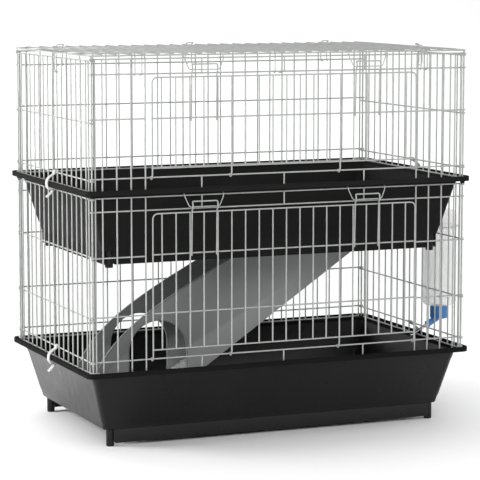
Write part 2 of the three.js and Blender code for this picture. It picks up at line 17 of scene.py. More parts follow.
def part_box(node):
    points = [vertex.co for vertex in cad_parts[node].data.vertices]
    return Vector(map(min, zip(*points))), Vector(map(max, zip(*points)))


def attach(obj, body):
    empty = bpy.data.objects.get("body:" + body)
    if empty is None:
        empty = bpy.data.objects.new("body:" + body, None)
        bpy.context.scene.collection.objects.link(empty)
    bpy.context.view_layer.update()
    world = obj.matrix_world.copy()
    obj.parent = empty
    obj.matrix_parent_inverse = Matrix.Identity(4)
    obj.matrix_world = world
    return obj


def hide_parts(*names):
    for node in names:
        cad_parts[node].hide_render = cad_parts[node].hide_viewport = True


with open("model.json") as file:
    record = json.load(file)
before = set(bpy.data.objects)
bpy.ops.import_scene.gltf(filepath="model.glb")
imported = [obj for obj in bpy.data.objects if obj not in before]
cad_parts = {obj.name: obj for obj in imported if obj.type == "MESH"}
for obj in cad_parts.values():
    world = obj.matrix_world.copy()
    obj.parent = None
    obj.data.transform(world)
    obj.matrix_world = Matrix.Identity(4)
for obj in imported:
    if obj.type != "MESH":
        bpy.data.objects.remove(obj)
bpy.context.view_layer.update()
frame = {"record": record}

MM = 0.001
TRAY_LOW, TRAY_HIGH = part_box("lower_tray")
CENTRE = Vector(((TRAY_LOW.x + TRAY_HIGH.x) / 2, (TRAY_LOW.y + TRAY_HIGH.y) / 2, 0))
BODY_OF = {
    node: body
    for body, nodes in frame["record"]["behaviour"]["bodies"].items()
    for node in nodes
}
draw = random.Random(11)

# ------------------------------------------------------------------ dimensions, in millimetres
WIRE = 1.8                        # radius of the bars and rails
WIRE_SIDES = 10
CLIP_WIRE = 1.3                   # radius of the clips' and bails' wire
BAR_LEAN = 0.25                   # how far a drawn wire may stray from straight
RAIL_LEAN = 0.15
INSET = 2.9                       # how far inside the uprights the rails run
WELD_PROFILE = ((-1.15, 0.55), (-0.5, 1.15), (0.5, 1.15), (1.15, 0.55))
PITCH = 35.6
SIDE_PITCH = 35.4
STOREY = 430
FRONT = 286
SIDE = 489.5
END_X = 480.6
END_Y = 266
ROD = (488, 283.6)
ROD_RADIUS = 2.1
ROD_BELOW = 1.4                   # how far the rods run on below the panels
EYE = 4.0
EYE_RUN = (8.5, 4.5)              # before the rod: where a rail bends out, where its eye starts
JAMBS = (-356, 356.6)
STUBS = (-213.6, 0, 213.6)
BEYOND = 500                      # past the corner rods, so the rail is curled round them
OVERSHOOT = 1.2                   # how far a wire runs on past the one it is welded to
LEVELS = {
    "lower": {
        "foot": 185, "sill": 213.6, "rails": (319.7, 460), "head": 568.8, "top": 600.6,
        "side_sill": 211, "side_rails": (315, 462), "side_top": 598.2, "rod_top": 603.6,
    },
    "upper": {
        "foot": 615, "sill": 645.6, "rails": (784.3,), "head": 889, "top": 924.4,
        "side_sill": 641, "side_rails": (776,), "side_top": 920, "rod_top": 930.4,
    },
}
DOORS = {
    "lower": {"bottom": 235.5, "rails": (322.5, 463), "top": 560.5, "catch_foot": 456},
    "upper": {"bottom": 667.5, "rails": (784.5,), "top": 880.5, "catch_foot": 777},
}
DOOR_PLANE = 290.3
DOOR_LEFT = -340
DOOR_RIGHT = 352.4
DOOR_FIRST_BAR = 4.4
DOOR_PITCH = 35.7
DOOR_BARS = 9
DOOR_CORNER = 15
DOOR_HOOKS = (-340, -138.4, 147.2, 352.4)
HINGE_OUT = 282.7
HOOK_EYE = 4.2
HOOK_WIRE = 1.8
BAILS = {"left": -209.8, "right": 218.6}
BAIL_OUT = 294.5
BAIL_DROP = 27.1
BAIL_BAR_HALF = 38.5
BAIL_ARM = ((50, -1.3, 0), (50, 4, 0), (49, 6, -8))
CATCH_LEG = 32
CATCH_CURL = ((3.3, -15), (3.4, -10.5), (4.8, -6.9), (7.6, -4.2), (9.2, 0.6), (8.6, 8), (5.2, 13))
ROOF_Z = 932.25
ROOF_X = 492.5
ROOF_Y = 286
ROOF_ROUND = 7
ROOF_CORNER_STEPS = 6
ROOF_RAILS = (-142, 0, 142)
ROOF_CLIP_LEG = 8.5
ROOF_CLIP_EYE = 4.4
ROOF_CLIP_FOOT = 885.6
ROOF_CLIPS = {"left": -373.8, "middle": -17.8, "right": 373.8}
ROOF_CLIP_SIDE = -35.4
TRAY_CLIP_Y = -11
TRAY_CLIP_IN = 3.3
TRAY_CLIP_WIDTH = 15.6
TRAY_CLIP_THICK = 2.8
TRAY_CLIP_EYE = 4.1
TRAY_CLIP_STRAP = (
    (9, -7), (16.5, -11.5), (22, -17.5), (23.6, -26), (22.6, -34.5), (18.8, -40.4), (13, -43.2),
    (7.4, -44.3),
)
TRAY_CLIP_TAB = ((7.4, -44.4), (14, -51.5), (24, -61))
BOTTLE = (546, -58)
BOTTLE_RADIUS = 44.6
BOTTLE_WALL = 1.5
NECK_RADIUS = 17
THREAD = 0.9
CAP_RADIUS = 23
CAP_FLUTES = (0.7, 228.5, 256)
ELBOW_RADIUS = 8.2
SPOUT_FROM = Vector((524, -58, 216.7))
SPOUT_TO = Vector((464, -58, 183))
SPOUT_TURN = Vector((0, 0, 1)).rotation_difference((SPOUT_TO - SPOUT_FROM).normalized()).to_matrix()
SPOUT_RADIUS = 4.5
BALL_RADIUS = 3.2
BALL_BACK = 3.6
HOLDER_WIRE = 1.5
HOLDER_SLACK = 3.8
HOLDER_REACH = 492.8
HOLDER_Z = 468
HOLDER_END = 31                   # half the distance between the loop's two ends

# trays and feet
CORNER_STEPS = 8
FLOOR_Z = 41
WALL_TOP = 180
FLOOR_HALF = (446, 240)
MOUTH_HALF = (483, 272)
RIM_HALF = (505, 300.6)
FLOOR_ROUND = 14
MOUTH_ROUND = 16
RIM_ROUND = 18
RIM_TOP = 190
RIM_LOW = 177.5
LIP = 3.4
WALL = 2.6
TRAY_SHARP = 32                   # degrees
LOW_STEP = (60.4, 61.6, 0.9)      # a step in the wall: where it starts and ends, how far out
HIGH_STEP = (156.8, 158.2, 1.9)
SKIRT_Y = 237.5
SKIRT_HALF = 422
SKIRT_LOW = 8
SKIRT_ROUND = 7
END_SKIRT_X = 441
END_SKIRT_HALF = 233
BROKEN_EDGE = 0.6
RIBS_X = (-300, -150, 0, 150, 300)
RIB_HALF = 0.9
BOSS_BORE = 2.6
BOSS_RADIUS = 5.5
BOSS_DROP = 13
FOOT_AT = (427, 226)
FOOT_PROFILE = (
    (5.6, 9), (6.2, 0.8), (6.8, 0), (8.9, 0), (9.6, 0.9), (9.8, 6), (10, 40.7),
)
HATCH = (96, 388, -25, 105)       # x from and to, y from and to
HATCH_ROUND = 10
HATCH_LIP = ((0.0, 0.5), (0.2, 3.4), (1.0, 4.2), (2.2, 4.2), (3.0, 3.4), (3.2, 0.5))
CORNERS = {
    "front_left": (-1, -1), "front_right": (1, -1), "back_left": (-1, 1), "back_right": (1, 1),
}
# a corner's foot wire: where it ends along the front, where it starts on the side, its height
CORNER_FEET = {"lower": (474, 262, 189.4), "upper": (463, 274, 617)}

# ramp
RAMP_NEAR = -30
RAMP_FAR = 110
RAMP_WALL = 4
RAMP_FOOT = 44.2
RAMP_HEAD = 470.4
RAMP_TOE = -418
TREAD_FOOT_X = -240
TREAD_HEAD_X = 395
HEAD_X = 91
ARCH = (-229, 185, 78)            # x, z and radius
CHEEK_BEND = ((-230, 305), (-398, 235))
TREAD_RIB = 2.2
TREAD_RIB_PITCH = 26

# studio, in metres and watts
FLOOR_HALF_WIDTH = 10
FLOOR_FRONT = -10
FLOOR_BACK = 10
FLOOR_CURVE = 3.5
BACKDROP_HEIGHT = 8
PAPER = (0.93, 0.93, 0.93)
MIDDLE = (0, 0, 0.45)
SOFTBOXES = {                     # place, target, size, power
    "key_softbox": ((-1.6, -4.2, 2.4), MIDDLE, (2.6, 2.0), 66),
    "fill_softbox": ((3.4, -2.6, 2.0), MIDDLE, (2.0, 2.0), 15),
    "side_softbox": ((-2.2, -1.9, 0.7), (-0.3, 0, 0.25), (1.0, 0.8), 6),
    "floor_softbox": ((-1.9, 0.5, 0.8), (-0.6, 0.25, 0), (0.9, 0.7), 30),
    "right_softbox": ((2.1, 0.1, 0.9), (0.85, 0.1, 0), (1.0, 0.8), 8),
    "top_softbox": ((0.2, 1.0, 4.0), (0, 0.2, 0), (5.0, 4.0), 80),
    "front_softbox": ((0.8, -2.0, 1.3), (0.5, -0.8, 0), (1.8, 0.6), 7),
    "backdrop_softbox": ((2.8, 5.2, 4.3), (3.6, 7.6, 0), (9.0, 4.5), 275),
}
WORLD_STRENGTH = 0.42
CAMERA_AT = Vector((-2.2307, -5.1711, 1.1391))
CAMERA_AIM = Vector((-0.0364, 0.0004, 0.4494))
CAMERA_LENS = 167.5
CAMERA_CLIP_END = 60


# ------------------------------------------------------------------ mesh building
END_SCALE = 0.55                  # size of a swept section's face beyond its broken edge
END_ROUNDING = 0.45               # length of a wire's rounded end, as a share of its radius
QUADRANTS = ((1, 1, 0), (-1, 1, 90), (-1, -1, 180), (1, -1, 270))  # sides, first angle


class Shape:
    """Points and faces of one piece."""

    def __init__(self):
        self.points = []
        self.faces = []

    def add(self, points, faces):
        """Adds points, and faces that count from the first of them."""
        first = len(self.points)
        self.points += [Vector(p) for p in points]
        self.faces += [[first + i for i in face] for face in faces]

    def stack(self, rings, closed=False):
        """Skins rings of equal length. Both ends are capped unless the stack is a closed loop."""
        count = len(rings[0])
        rows = len(rings)
        faces = []
        for row in range(rows if closed else rows - 1):
            low = row * count
            high = (row + 1) % rows * count
            for i in range(count):
                j = (i + 1) % count
                faces.append((low + i, low + j, high + j, high + i))
        if not closed:
            faces.append(tuple(reversed(range(count))))
            faces.append(tuple((rows - 1) * count + i for i in range(count)))
        self.add([p for ring in rings for p in ring], faces)


def circle(radius, sides):
    """Points of a flat circle round the origin."""
    return [
        (radius * math.cos(math.tau * i / sides), radius * math.sin(math.tau * i / sides))
        for i in range(sides)
    ]


def arc(cx, cy, radius, start, end, steps):
    """Points on a flat arc, angles in degrees."""
    angles = [math.radians(start + (end - start) * i / steps) for i in range(steps + 1)]
    return [(cx + radius * math.cos(a), cy + radius * math.sin(a)) for a in angles]


def stations(path, closed, binormal):
    """Each point of a path with its direction and the two directions across it."""
    count = len(path)
    made = []
    side = None
    for i, point in enumerate(path):
        before = path[i - 1] if closed or i else point
        after = path[(i + 1) % count] if closed or i < count - 1 else point
        along = (after - before).normalized()
        if side is None:
            side = Vector(binormal) if binormal else along.orthogonal()
        side = (side - along * side.dot(along)).normalized()
        made.append((point, along, side, along.cross(side)))
    return made


def sweep(shape, path, section, closed=False, binormal=None, rounding=0.0):
    """Carries a flat section along a path. `rounding` breaks the edge at both ends."""
    path = [Vector(p) for p in path]
    rows = [(*station, 1.0) for station in stations(path, closed, binormal)]
    if rounding and not closed:
        first, last = rows[0], rows[-1]
        rows[0] = (first[0] + first[1] * rounding, *first[1:])
        rows[-1] = (last[0] - last[1] * rounding, *last[1:])
        rows.insert(0, (first[0], *first[1:4], END_SCALE))
        rows.append((last[0], *last[1:4], END_SCALE))
    rings = [
        [point + side * (u * scale) + across * (v * scale) for u, v in section]
        for point, _, side, across, scale in rows
    ]
    shape.stack(rings, closed)


def tube(shape, path, radius=WIRE, closed=False, binormal=None, sides=WIRE_SIDES):
    """Round wire along a path, with its ends rounded off."""
    sweep(shape, path, circle(radius, sides), closed, binormal, radius * END_ROUNDING)


def strip_section(width, thick, edge):
    """Rounded rectangle, `width` along the binormal and `thick` across it."""
    points = []
    for sx, sy, start in QUADRANTS:
        points += arc(sx * (width / 2 - edge), sy * (thick / 2 - edge), edge, start, start + 90, 3)
    return points


def straight(start, end, lean=BAR_LEAN):
    """A drawn wire between two points, straight to within a hair."""
    start, end = Vector(start), Vector(end)
    across = (end - start).normalized().orthogonal()
    other = (end - start).normalized().cross(across)
    path = [start]
    for share in (0.3, 0.7):
        off = across * draw.uniform(-lean, lean) + other * draw.uniform(-lean, lean) * 0.3
        path.append(start.lerp(end, share) + off)
    return path + [end]


def bent(corners, reach, steps=5):
    """A polyline with each inner corner rounded off."""
    corners = [Vector(c) for c in corners]
    path = [corners[0]]
    for before, corner, after in zip(corners, corners[1:], corners[2:]):
        into = corner + (before - corner).normalized() * min(reach, (corner - before).length * 0.48)
        away = corner + (after - corner).normalized() * min(reach, (after - corner).length * 0.48)
        for i in range(steps + 1):
            t = i / steps
            path.append(into * (1 - t) ** 2 + corner * (2 * t * (1 - t)) + away * t * t)
    return path + [corners[-1]]


def turned(shape, profile, place=(0, 0, 0), sides=40, closed=False, turn=None, flutes=None):
    """Turns (radius, height) pairs about Z. `flutes` = (depth, low, high) grooves the wall."""
    rings = []
    turn = turn or Matrix.Identity(3)
    for radius, height in profile:
        ring = []
        for i in range(sides):
            angle = math.tau * i / sides
            here = radius
            if flutes and flutes[1] <= height <= flutes[2]:
                here -= flutes[0] * (i % 2)
            ring.append(Vector(place) + turn @ Vector(
                (here * math.cos(angle), here * math.sin(angle), height)))
        rings.append(ring)
    shape.stack(rings, closed)


def plate(shape, outline, low, high, edge=0.8):
    """Flat plate in the XZ plane from y = low to y = high, with broken edges."""
    count = len(outline)
    inset = []
    for i, point in enumerate(outline):
        before = Vector(outline[i - 1])
        here = Vector(point)
        after = Vector(outline[(i + 1) % count])
        into = (here - before).normalized()
        away = (after - here).normalized()
        normal = Vector((-(into.y + away.y), into.x + away.x))
        normal = normal.normalized() / max(0.5, normal.length / 2) if normal.length else normal
        inset.append(here + normal * edge)
    rings = [
        [(p.x, low, p.y) for p in inset],
        [(p[0], low + edge, p[1]) for p in outline],
        [(p[0], high - edge, p[1]) for p in outline],
        [(p.x, high, p.y) for p in inset],
    ]
    shape.stack(rings)


def mesh_object(name, shape, material, sharp_degrees):
    """Puts a shape into the scene, with edges sharper than `sharp_degrees` left hard."""
    mesh = bpy.data.meshes.new(name)
    mesh.from_pydata([CENTRE + p * MM for p in shape.points], [], shape.faces)
    work = bmesh.new()
    work.from_mesh(mesh)
    bmesh.ops.recalc_face_normals(work, faces=work.faces)
    for face in work.faces:
        face.smooth = True
    work.to_mesh(mesh)
    work.free()
    mesh.set_sharp_from_angle(angle=math.radians(sharp_degrees))
    mesh.materials.append(material)
    made = bpy.data.objects.new(name, mesh)
    bpy.context.scene.collection.objects.link(made)
    return made


def piece(node, ending, shape, slot, sharp_degrees=40):
    """Makes the piece that stands for a CAD node and puts it on that node's body."""
    made = mesh_object(f"{node}_{ending}", shape, MATERIALS[slot], sharp_degrees)
    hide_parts(node)
    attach(made, BODY_OF[node])
    return made


# ------------------------------------------------------------------ materials
RUBBED = (0.52, 0.62)             # pointiness where rubbing starts and is complete
DRAG_MARKS = (1.0, 6.0, 0.6)
GRAIN_DEPTH = 0.0003
UNEVEN_DEPTH = 0.004
RIM_ROUGHNESS = 0.78
RIM_SPECULAR = 0.05
RIM_BLEND = 0.003                 # metres below the rim over which the wall turns dull


class Nodes:
    """Short names for building one material's node tree."""

    def __init__(self, name):
        self.material = bpy.data.materials.new(name)
        self.material.use_nodes = True
        self.tree = self.material.node_tree
        self.shader = self.tree.nodes["Principled BSDF"]
        self.place = self.add("ShaderNodeTexCoord").outputs["Object"]

    def add(self, kind, **values):
        """New node of a kind, with its properties set."""
        node = self.tree.nodes.new(kind)
        for key, value in values.items():
            setattr(node, key, value)
        return node

    def link(self, source, target):
        self.tree.links.new(source, target)

    def stretched(self, scale):
        """The piece's own coordinates, scaled along each axis."""
        mapping = self.add("ShaderNodeMapping")
        self.link(self.place, mapping.inputs["Vector"])
        mapping.inputs["Scale"].default_value = scale
        return mapping.outputs["Vector"]

    def noise(self, scale, detail=3.0, rough=0.5, place=None):
        node = self.add("ShaderNodeTexNoise")
        self.link(place or self.place, node.inputs["Vector"])
        node.inputs["Scale"].default_value = scale
        node.inputs["Detail"].default_value = detail
        node.inputs["Roughness"].default_value = rough
        return node.outputs["Fac"]

    def spread(self, source, low, high, start=0.3, end=0.7):
        """Maps `start` to `end` of the source onto `low` to `high`."""
        node = self.add("ShaderNodeMapRange")
        self.link(source, node.inputs["Value"])
        node.inputs["From Min"].default_value = start
        node.inputs["From Max"].default_value = end
        node.inputs["To Min"].default_value = low
        node.inputs["To Max"].default_value = high
        return node.outputs["Result"]

    def ramp(self, source, dark, light, start=0.3, end=0.7):
        """Maps `start` to `end` of the source onto the colours from `dark` to `light`."""
        node = self.add("ShaderNodeValToRGB")
        self.link(source, node.inputs["Fac"])
        first, last = node.color_ramp.elements
        first.position, first.color = start, (*dark, 1)
        last.position, last.color = end, (*light, 1)
        return node.outputs["Color"]

    def blend(self, share, colour, plain):
        """From `colour` to one plain tone."""
        node = self.add("ShaderNodeMix", data_type="RGBA")
        self.link(share, node.inputs["Factor"])
        self.link(colour, node.inputs["A"])
        node.inputs["B"].default_value = (*plain, 1)
        return node.outputs["Result"]

    def worn_edges(self, start, end):
        """0 on flat faces, rising to 1 on the sharpest edges."""
        geometry = self.add("ShaderNodeNewGeometry")
        return self.spread(geometry.outputs["Pointiness"], 0, 1, start, end)

    def bump(self, source, strength, distance, under=None):
        """Relief from the source, laid over the relief of `under`."""
        node = self.add("ShaderNodeBump")
        node.inputs["Strength"].default_value = strength
        node.inputs["Distance"].default_value = distance
        self.link(source, node.inputs["Height"])
        if under:
            self.link(under, node.inputs["Normal"])
        return node.outputs["Normal"]

    def clouded(self, dark, light, edge):
        """Slight flow clouding, with the edges rubbed to another tone."""
        return self.blend(self.worn_edges(*RUBBED), self.ramp(self.noise(7, 4), dark, light), edge)

    def dragged(self, low, high):
        """Roughness drawn out into marks along the moulding."""
        return self.spread(self.noise(30, 5, 0.6, self.stretched(DRAG_MARKS)), low, high)

    def grained(self, scale):
        """Fine moulded grain over a barely uneven surface."""
        grain = self.bump(self.noise(scale, 3, 0.6), 0.16, GRAIN_DEPTH)
        return self.bump(self.noise(18, 2), 0.05, UNEVEN_DEPTH, grain)

    def finish(self, colour, roughness, normal, **plain):
        """Joins the three maps to the shader and sets its plain values."""
        self.link(colour, self.shader.inputs["Base Color"])
        self.link(roughness, self.shader.inputs["Roughness"])
        self.link(normal, self.shader.inputs["Normal"])
        for key, value in plain.items():
            self.shader.inputs[key.replace("_", " ")].default_value = value
        return self.material


def wire_finish(name, dark, light, metallic, rough_low, rough_high):
    """Plated or coated wire: faint cloudiness, fine orange peel and a few dull patches."""
    n = Nodes(name)
    cloud = n.noise(55, 4)
    colour = n.ramp(cloud, dark, light)
    roughness = n.spread(n.noise(140, 3), rough_low, rough_high)
    normal = n.bump(n.noise(900, 2), 0.06, 0.0001)
    return n.finish(colour, roughness, normal, Metallic=metallic)


def moulded_finish(name, dark, light, edge, rough_low, rough_high, grain, specular):
    """Moulded plastic: slight flow clouding, fine grain, rubbed edges and a few drag marks."""
    n = Nodes(name)
    colour = n.clouded(dark, light, edge)
    roughness = n.dragged(rough_low, rough_high)
    return n.finish(colour, roughness, n.grained(grain), Specular_IOR_Level=specular)


def tray_finish(name, dark, light, edge, rim_low, rough_low, rough_high, grain, specular):
    """The trays' black plastic: a polished wall below a dull rim. `rim_low` is in metres."""
    n = Nodes(name)
    colour = n.clouded(dark, light, edge)
    split = n.add("ShaderNodeSeparateXYZ")
    n.link(n.place, split.inputs["Vector"])
    height = split.outputs["Z"]
    dulling = (rim_low - RIM_BLEND, rim_low)
    roughness = n.add("ShaderNodeMath", operation="MAXIMUM")
    n.link(n.dragged(rough_low, rough_high), roughness.inputs[0])
    n.link(n.spread(height, 0.2, RIM_ROUGHNESS, *dulling), roughness.inputs[1])
    sheen = n.spread(height, specular, RIM_SPECULAR, *dulling)
    n.link(sheen, n.shader.inputs["Specular IOR Level"])
    return n.finish(colour, roughness.outputs["Value"], n.grained(grain))


def clear_finish():
    """Thin blown plastic: milky, with faint streaks from the mould."""
    n = Nodes("clear_plastic")
    streak = n.noise(16, 3, 0.5, n.stretched((3.0, 3.0, 0.4)))
    colour = n.ramp(streak, (0.90, 0.91, 0.90), (0.96, 0.965, 0.96))
    roughness = n.spread(n.noise(40, 3), 0.24, 0.34)
    normal = n.bump(n.noise(12, 2), 0.03, 0.0004)
    return n.finish(colour, roughness, normal, Alpha=0.34)


def steel_finish():
    """Drawn stainless tube: fine lines along the draw and light handling marks."""
    n = Nodes("steel")
    line = n.noise(300, 4, 0.6, n.stretched((0.3, 6.0, 0.3)))
    colour = n.ramp(line, (0.50, 0.50, 0.51), (0.66, 0.66, 0.67))
    roughness = n.spread(n.noise(90, 3), 0.16, 0.30)
    normal = n.bump(line, 0.06, 0.0002)
    return n.finish(colour, roughness, normal, Metallic=1.0)


MATERIALS = {
    "coated_wire": wire_finish(
        "coated_wire", (0.38, 0.39, 0.38), (0.46, 0.47, 0.46), 0.2, 0.30, 0.44),
    "clip_wire": wire_finish(
        "clip_wire", (0.38, 0.39, 0.38), (0.48, 0.49, 0.48), 0.3, 0.26, 0.40),
    "black_plastic": moulded_finish(
        "black_plastic", (0.0042, 0.0042, 0.0041), (0.0062, 0.0062, 0.006), (0.014, 0.014, 0.014),
        0.32, 0.44, 900, 0.25),
    "lower_tray": tray_finish(
        "lower_tray", (0.0030, 0.0030, 0.0029), (0.0048, 0.0048, 0.0046), (0.016, 0.016, 0.016),
        RIM_LOW * MM, 0.26, 0.36, 900, 0.26),
    "upper_tray": tray_finish(
        "upper_tray", (0.0085, 0.0088, 0.0084), (0.0120, 0.0123, 0.0117), (0.016, 0.016, 0.016),
        (RIM_LOW + STOREY) * MM, 0.50, 0.62, 900, 0.07),
    "grey_plastic": moulded_finish(
        "grey_plastic", (0.15, 0.155, 0.155), (0.18, 0.185, 0.185), (0.34, 0.345, 0.345),
        0.42, 0.55, 1100, 0.45),
    "white_plastic": moulded_finish(
        "white_plastic", (0.46, 0.46, 0.45), (0.55, 0.55, 0.54), (0.66, 0.66, 0.65),
        0.36, 0.48, 1100, 0.5),
    "blue_plastic": moulded_finish(
        "blue_plastic", (0.022, 0.16, 0.44), (0.036, 0.20, 0.52), (0.08, 0.30, 0.64),
        0.30, 0.42, 900, 0.5),
    "clear_plastic": clear_finish(),
    "steel": steel_finish(),
    "rubber": moulded_finish(
        "rubber", (0.018, 0.018, 0.018), (0.028, 0.028, 0.028), (0.04, 0.04, 0.04),
        0.62, 0.78, 700, 0.4),
}


# ------------------------------------------------------------------ trays and feet
def rounded_loop(half_x, half_y, radius, z, steps=CORNER_STEPS):
    """Level rectangle with rounded corners."""
    points = []
    for sx, sy, start in QUADRANTS:
        centre = (sx * (half_x - radius), sy * (half_y - radius))
        points += [(x, y, z) for x, y in arc(*centre, radius, start, start + 90, steps)]
    return points


def wall_loop(z, grow):
    """The sloping wall at a height, `grow` outside its plain line."""
    t = (z - FLOOR_Z) / (WALL_TOP - FLOOR_Z)
    half_x, half_y = (a + (b - a) * t for a, b in zip(FLOOR_HALF, MOUTH_HALF))
    radius = FLOOR_ROUND + (MOUTH_ROUND - FLOOR_ROUND) * t
    return rounded_loop(half_x + grow, half_y + grow, radius + grow, z)


def rim_loop(inset, z):
    """The rim's outline at a height, `inset` inside its outer edge."""
    return rounded_loop(RIM_HALF[0] - inset, RIM_HALF[1] - inset, RIM_ROUND - inset, z)


def tray_shell(shape):
    """One thin moulding: stepped sloping wall, channel for the wire panels and an upstanding lip."""
    shape.stack([
        wall_loop(FLOOR_Z, -5),
        wall_loop(FLOOR_Z + 0.5, -1.6),
        wall_loop(FLOOR_Z + 2, -0.2),
        wall_loop(LOW_STEP[0], 0),
        wall_loop(LOW_STEP[1], LOW_STEP[2]),
        wall_loop(HIGH_STEP[0], LOW_STEP[2]),
        wall_loop(HIGH_STEP[1], HIGH_STEP[2]),
        wall_loop(175.5, HIGH_STEP[2]),
        wall_loop(178.6, 3),
        wall_loop(179.9, 6),
        rim_loop(LIP + 1.2, WALL_TOP),
        rim_loop(LIP, WALL_TOP - 0.8),
        rim_loop(LIP, RIM_LOW + 0.8),
        rim_loop(LIP - 0.8, RIM_LOW),
        rim_loop(0.9, RIM_LOW),
        rim_loop(0, RIM_LOW + 0.9),
        rim_loop(0, RIM_TOP - 1.3),
        rim_loop(0.4, RIM_TOP - 0.4),
        rim_loop(1.3, RIM_TOP),
        rim_loop(LIP - 1, RIM_TOP),
        rim_loop(LIP - 0.2, RIM_TOP - 0.5),
        rim_loop(LIP + 0.6, WALL_TOP + 3.8),
        rim_loop(LIP + 1.4, WALL_TOP + 3),
        wall_loop(WALL_TOP + 3, 1.2),
        wall_loop(WALL_TOP + 2.3, -0.9),
        wall_loop(WALL_TOP, -WALL),
        wall_loop(FLOOR_Z + 8, -WALL),
        wall_loop(FLOOR_Z + 4, -WALL - 1),
        wall_loop(FLOOR_Z + WALL, -WALL - 5),
    ])


def skirt(shape, side):
    """Thin wall between two feet, with rounded lower corners."""
    reach, low, high, radius = SKIRT_HALF, SKIRT_LOW, FLOOR_Z + 1, SKIRT_ROUND
    outline = [
        (-reach, high),
        *arc(-reach + radius, low + radius, radius, 180, 270, 5),
        *arc(reach - radius, low + radius, radius, 270, 360, 5),
        (reach, high),
    ]
    plate(shape, outline, side * SKIRT_Y - WALL / 2, side * SKIRT_Y + WALL / 2, BROKEN_EDGE)


def end_skirt(shape, side):
    """Thin wall across one end of the upper tray, outside its feet."""
    reach, low, high = END_SKIRT_HALF, SKIRT_LOW, FLOOR_Z + 1
    half, edge = WALL / 2, BROKEN_EDGE
    rings = []
    for out, inset in ((-half, edge), (-half + edge, 0), (half - edge, 0), (half, edge)):
        x = side * (END_SKIRT_X + out)
        rings.append([
            (x, -reach + inset, low + inset), (x, reach - inset, low + inset),
            (x, reach - inset, high), (x, -reach + inset, high),
        ])
    shape.stack(rings)


def underside(shape):
    """Ribs that stiffen the floor between the skirts."""
    for x in RIBS_X:
        outline = [(-SKIRT_Y + 3, FLOOR_Z + 0.6), (-SKIRT_Y + 10, FLOOR_Z - 5),
                   (SKIRT_Y - 10, FLOOR_Z - 5), (SKIRT_Y - 3, FLOOR_Z + 0.6)]
        shape.stack([[(x + dx, y, z) for y, z in outline] for dx in (-RIB_HALF, RIB_HALF)])


def corner_boss(shape, sx, sy):
    """Hollow boss under the flange: it drops over the top of a corner rod."""
    low, high = WALL_TOP - BOSS_DROP, WALL_TOP + 0.6
    profile = [(BOSS_BORE, low), (BOSS_RADIUS - 0.8, low), (BOSS_RADIUS, low + 0.9),
               (BOSS_RADIUS, high), (BOSS_BORE, high)]
    turned(shape, profile, (sx * ROD[0], sy * ROD[1], 0), 24, True)


def tray(storey, lift):
    """One storey's tray. `lift` is the height of its feet above the ground."""
    shape = Shape()
    tray_shell(shape)
    for side in (-1, 1):
        skirt(shape, side)
    if storey == "lower":
        underside(shape)
    else:
        for sx in (-1, 1):
            end_skirt(shape, sx)
            for sy in (-1, 1):
                corner_boss(shape, sx, sy)
    for point in shape.points:
        point.z += lift
    made = piece(f"{storey}_tray", "moulding", shape, "black_plastic", TRAY_SHARP)
    made.data.materials[0] = MATERIALS[f"{storey}_tray"]
    return made


def hatch_loop(grow, z):
    """The hatch's outline, `grow` outside its edge."""
    x0, x1, y0, y1 = HATCH
    loop = rounded_loop((x1 - x0) / 2 + grow, (y1 - y0) / 2 + grow, HATCH_ROUND + grow, z)
    return [(x + (x0 + x1) / 2, y + (y0 + y1) / 2, z) for x, y, z in loop]


def cut_hatch(made):
    """Cuts the opening for the ramp through the upper tray's floor."""
    cutter_shape = Shape()
    cutter_shape.stack([hatch_loop(0, STOREY + FLOOR_Z + up) for up in (-12, 12)])
    cutter = mesh_object("hatch_cutter", cutter_shape, MATERIALS["black_plastic"], 30)
    modifier = made.modifiers.new("hatch", "BOOLEAN")
    modifier.operation = "DIFFERENCE"
    modifier.solver = "EXACT"
    modifier.object = cutter
    bpy.context.view_layer.update()
    evaluated = made.evaluated_get(bpy.context.evaluated_depsgraph_get())
    cut = bpy.data.meshes.new_from_object(evaluated)
    made.modifiers.clear()
    made.data = cut
    cut.set_sharp_from_angle(angle=math.radians(TRAY_SHARP))
    bpy.data.objects.remove(cutter)


def hatch_lip():
    """Raised rim round the hatch, so that litter stays on the floor."""
    shape = Shape()
    base = STOREY + FLOOR_Z + WALL - 0.6
    shape.stack([hatch_loop(out, base + up) for out, up in HATCH_LIP], True)
    lip = mesh_object("upper_tray_hatch_lip", shape, MATERIALS["black_plastic"], 40)
    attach(lip, "root")


tray("lower", 0)
cut_hatch(tray("upper", STOREY))
hatch_lip()

for storey, lift in (("lower", 0), ("upper", STOREY)):
    for corner, (sx, sy) in CORNERS.items():
        foot = Shape()
        turned(foot, FOOT_PROFILE, (sx * FOOT_AT[0], sy * FOOT_AT[1], lift), 32)
        piece(f"{storey}_foot_{corner}", "peg", foot, "black_plastic", 35)


# ------------------------------------------------------------------ wire panels
def on_long(sign):
    """Places (along, out, z) on the front (-1) or the back (1)."""
    return lambda along, out, z: Vector((along, sign * out, z))


def on_short(sign):
    """Places (along, out, z) on the left (-1) or the right (1)."""
    return lambda along, out, z: Vector((sign * out, along, z))


def weld(shape, centre):
    """Small nugget where two wires meet."""
    shape.stack([
        [centre + Vector((x, y, height)) for x, y in circle(radius, 6)]
        for height, radius in WELD_PROFILE
    ])


def crossings(shape, place, alongs, out, heights):
    """A weld wherever an upright crosses a rail."""
    for along in alongs:
        for z in heights:
            weld(shape, place(along, out - INSET / 2, z))


